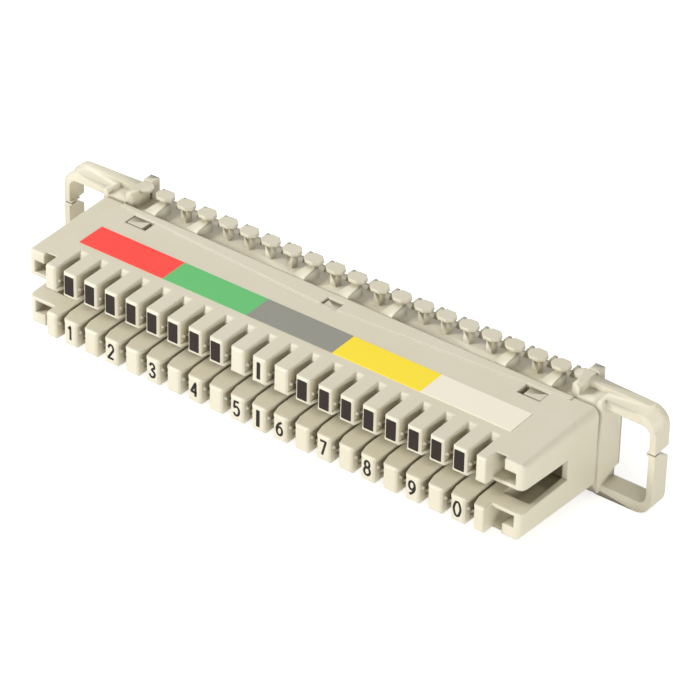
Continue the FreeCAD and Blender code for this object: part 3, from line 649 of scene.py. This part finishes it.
class BLOCK_OT_base(Operator):
    """Replace the base carrier with a copy whose rear deck lies lower behind the heads"""

    bl_idname = "wiring_block.base"
    bl_label = "Base"
    bl_options = {"REGISTER", "UNDO"}

    def execute(self, context):
        looks = context.scene.wiring_block
        bm = merged_copy("base_carrier")
        lowered_deck(bm, looks.deck)
        material = plastic_material("base_plastic", looks.plastic, looks.plastic.base_round)
        replace_node(bm, "base_moulding", "base_carrier", material, looks.plastic.base_smooth)
        return {"FINISHED"}


class BLOCK_OT_label(Operator):
    """Finish the label strip as printed film with five colour fields"""

    bl_idname = "wiring_block.label"
    bl_label = "Label"
    bl_options = {"REGISTER", "UNDO"}

    def execute(self, context):
        dress("label_strip", label_material(context.scene.wiring_block.label))
        return {"FINISHED"}


class BLOCK_OT_contacts(Operator):
    """Finish the contacts as silver-plated sheet metal"""

    bl_idname = "wiring_block.contacts"
    bl_label = "Contacts"
    bl_options = {"REGISTER", "UNDO"}

    def execute(self, context):
        if not CONTACT_NODES:
            raise RuntimeError("The frame has no contacts")
        material = contact_material(context.scene.wiring_block.contact)
        for node_name in CONTACT_NODES:
            dress(node_name, material)
        return {"FINISHED"}


class BLOCK_OT_bars(Operator):
    """Print the bars on the upper teeth and the narrow bars on the middle tooth"""

    bl_idname = "wiring_block.bars"
    bl_label = "Bars"
    bl_options = {"REGISTER", "UNDO"}

    def execute(self, context):
        looks = context.scene.wiring_block.prints
        bm = bmesh.new()
        depth = looks.thick * 2
        for tooth in BAR_TEETH:
            add_plate(bm, tooth_place(looks, tooth, looks.bar_level), (looks.bar_wide, depth, looks.bar_high),
                      looks.bar_wide * 0.08)
        for level in (looks.bar_level, -looks.digit_level):
            size = (looks.middle_wide, depth, looks.middle_high)
            add_plate(bm, tooth_place(looks, MIDDLE_TOOTH, level), size, looks.middle_wide * 0.2)
        mesh = bpy.data.meshes.new("bar_prints")
        bm.to_mesh(mesh)
        bm.free()
        finish_piece(mesh, "bar_prints", ink_material("bar_ink", looks.ink, looks))
        return {"FINISHED"}


class BLOCK_OT_digits(Operator):
    """Print the digits on the lower teeth"""

    bl_idname = "wiring_block.digits"
    bl_label = "Digits"
    bl_options = {"REGISTER", "UNDO"}

    def execute(self, context):
        looks = context.scene.wiring_block.prints
        bm = bmesh.new()
        flat = Matrix.Diagonal((1.0, looks.thick * 2 / looks.stroke, 1.0, 1.0))
        for digit, tooth in DIGIT_TEETH.items():
            pen = bpy.data.objects.new("pen", pen_strokes(digit, looks))
            drawn = bpy.data.meshes.new_from_object(pen)
            drawn.transform(Matrix.Translation(tooth_place(looks, tooth, -looks.digit_level)) @ flat)
            bm.from_mesh(drawn)
            bpy.data.meshes.remove(drawn)
            bpy.data.curves.remove(pen.data)
        bmesh.ops.remove_doubles(bm, verts=bm.verts, dist=looks.stroke / 200)
        bmesh.ops.recalc_face_normals(bm, faces=bm.faces)
        mesh = bpy.data.meshes.new("digit_prints")
        bm.to_mesh(mesh)
        bm.free()
        material = ink_material("digit_ink", looks.digit_ink, looks)
        finish_piece(mesh, "digit_prints", material)
        return {"FINISHED"}


def seen_rays(tree):
    """Mask of the rays that show the backdrop: straight to the camera, mirrored or through a piece."""
    ray = tree.nodes.new("ShaderNodeLightPath")
    seen = maths(tree, "MAXIMUM", ray.outputs["Is Camera Ray"], ray.outputs["Is Glossy Ray"])
    return maths(tree, "MAXIMUM", seen, ray.outputs["Is Transmission Ray"])


def floor_material(looks):
    """Near white to the camera and in reflections, with the shade that falls on it."""
    material, tree, surface, place = new_material("studio_floor")
    surface.inputs["Base Color"].default_value = shaded(looks.floor)
    surface.inputs["Roughness"].default_value = FLOOR_ROUGHNESS
    surface.inputs["Specular IOR Level"].default_value = 0.0
    glow = tree.nodes.new("ShaderNodeEmission")
    glow.inputs["Color"].default_value = (1.0, 1.0, 1.0, 1.0)
    glow.inputs["Strength"].default_value = FLOOR_GLOW
    dark = tree.nodes.new("ShaderNodeEmission")
    dark.inputs["Strength"].default_value = 0.0
    switch = tree.nodes.new("ShaderNodeMixShader")
    tree.links.new(seen_rays(tree), switch.inputs["Fac"])
    tree.links.new(dark.outputs["Emission"], switch.inputs[1])
    tree.links.new(glow.outputs["Emission"], switch.inputs[2])
    both = tree.nodes.new("ShaderNodeAddShader")
    tree.links.new(surface.outputs["BSDF"], both.inputs[0])
    tree.links.new(switch.outputs["Shader"], both.inputs[1])
    tree.links.new(both.outputs["Shader"], tree.nodes["Material Output"].inputs["Surface"])
    return material


def soft_light(name, place, target, size, power):
    lamp = bpy.data.lights.new(name, "AREA")
    lamp.shape = "DISK"
    lamp.size = size
    lamp.energy = power
    holder = bpy.data.objects.new(name, lamp)
    holder.location = place
    holder.rotation_euler = (Vector(target) - Vector(place)).to_track_quat("-Z", "Y").to_euler()
    bpy.context.collection.objects.link(holder)


class BLOCK_OT_studio(Operator):
    """Set up the floor, the lights, the world and the photograph's camera"""

    bl_idname = "wiring_block.studio"
    bl_label = "Studio"
    bl_options = {"REGISTER", "UNDO"}

    def execute(self, context):
        looks = context.scene.wiring_block.studio
        bm = bmesh.new()
        bmesh.ops.create_grid(bm, x_segments=1, y_segments=1, size=looks.floor_size / 2)
        mesh = bpy.data.meshes.new("studio_floor")
        bm.to_mesh(mesh)
        bm.free()
        floor = bpy.data.objects.new("studio_floor", mesh)
        context.collection.objects.link(floor)
        floor.data.materials.append(floor_material(looks))

        world = bpy.data.worlds.new("studio_sky")
        context.scene.world = world
        world.use_nodes = True
        tree = world.node_tree
        sky = tree.nodes["Background"]
        sky.inputs["Color"].default_value = SKY_COLOUR
        sky.inputs["Strength"].default_value = looks.sky
        white = tree.nodes.new("ShaderNodeBackground")
        white.inputs["Color"].default_value = (1.0, 1.0, 1.0, 1.0)
        white.inputs["Strength"].default_value = 1.0
        switch = tree.nodes.new("ShaderNodeMixShader")
        tree.links.new(seen_rays(tree), switch.inputs["Fac"])
        tree.links.new(sky.outputs["Background"], switch.inputs[1])
        tree.links.new(white.outputs["Background"], switch.inputs[2])
        tree.links.new(switch.outputs["Shader"], tree.nodes["World Output"].inputs["Surface"])

        target = (0.0, 0.0, MID_LEVEL)
        soft_light("key_light", KEY_PLACE, target, KEY_SIZE, looks.key)
        soft_light("side_light", SIDE_PLACE, target, SIDE_SIZE, looks.side)

        lens = bpy.data.cameras.new("photo_camera")
        lens.sensor_width = CAMERA_SENSOR
        lens.lens = CAMERA_LENS
        lens.clip_start = 0.01
        lens.clip_end = 20.0
        holder = bpy.data.objects.new("photo_camera", lens)
        turn = Matrix((CAMERA_RIGHT, CAMERA_UP, CAMERA_BACK)).transposed()
        holder.matrix_world = Matrix.Translation(CAMERA_PLACE) @ turn.to_4x4()
        context.collection.objects.link(holder)
        context.scene.camera = holder
        context.scene.view_settings.view_transform = "Standard"
        return {"FINISHED"}


class BLOCK_PT_panel(Panel):
    """Lists the steps that dress the wiring block"""

    bl_idname = "BLOCK_PT_panel"
    bl_label = "Wiring block"
    bl_space_type = "VIEW_3D"
    bl_region_type = "UI"
    bl_category = "Wiring block"

    def draw(self, context):
        looks = context.scene.wiring_block
        for step, groups in STEPS:
            box = self.layout.box()
            box.operator(step.bl_idname)
            for group in groups:
                for name in getattr(looks, group).__annotations__:
                    box.prop(getattr(looks, group), name)


STEPS = (
    (BLOCK_OT_housing, ("plastic", "groove")),
    (BLOCK_OT_base, ("deck",)),
    (BLOCK_OT_label, ("label",)),
    (BLOCK_OT_contacts, ("contact",)),
    (BLOCK_OT_bars, ("prints",)),
    (BLOCK_OT_digits, ()),
    (BLOCK_OT_studio, ("studio",)),
)
CLASSES = (PlasticLooks, GrooveLooks, DeckLooks, LabelLooks, ContactLooks, PrintLooks, StudioLooks,
           BlockLooks, *(step for step, groups in STEPS), BLOCK_PT_panel)


def register():
    for item in CLASSES:
        bpy.utils.register_class(item)
    bpy.types.Scene.wiring_block = PointerProperty(type=BlockLooks)


def unregister():
    del bpy.types.Scene.wiring_block
    for item in reversed(CLASSES):
        bpy.utils.unregister_class(item)


def main():
    register()
    bpy.ops.wiring_block.housing()
    bpy.ops.wiring_block.base()
    bpy.ops.wiring_block.label()
    bpy.ops.wiring_block.contacts()
    bpy.ops.wiring_block.bars()
    bpy.ops.wiring_block.digits()
    bpy.ops.wiring_block.studio()


if __name__ == "__main__":
    main()
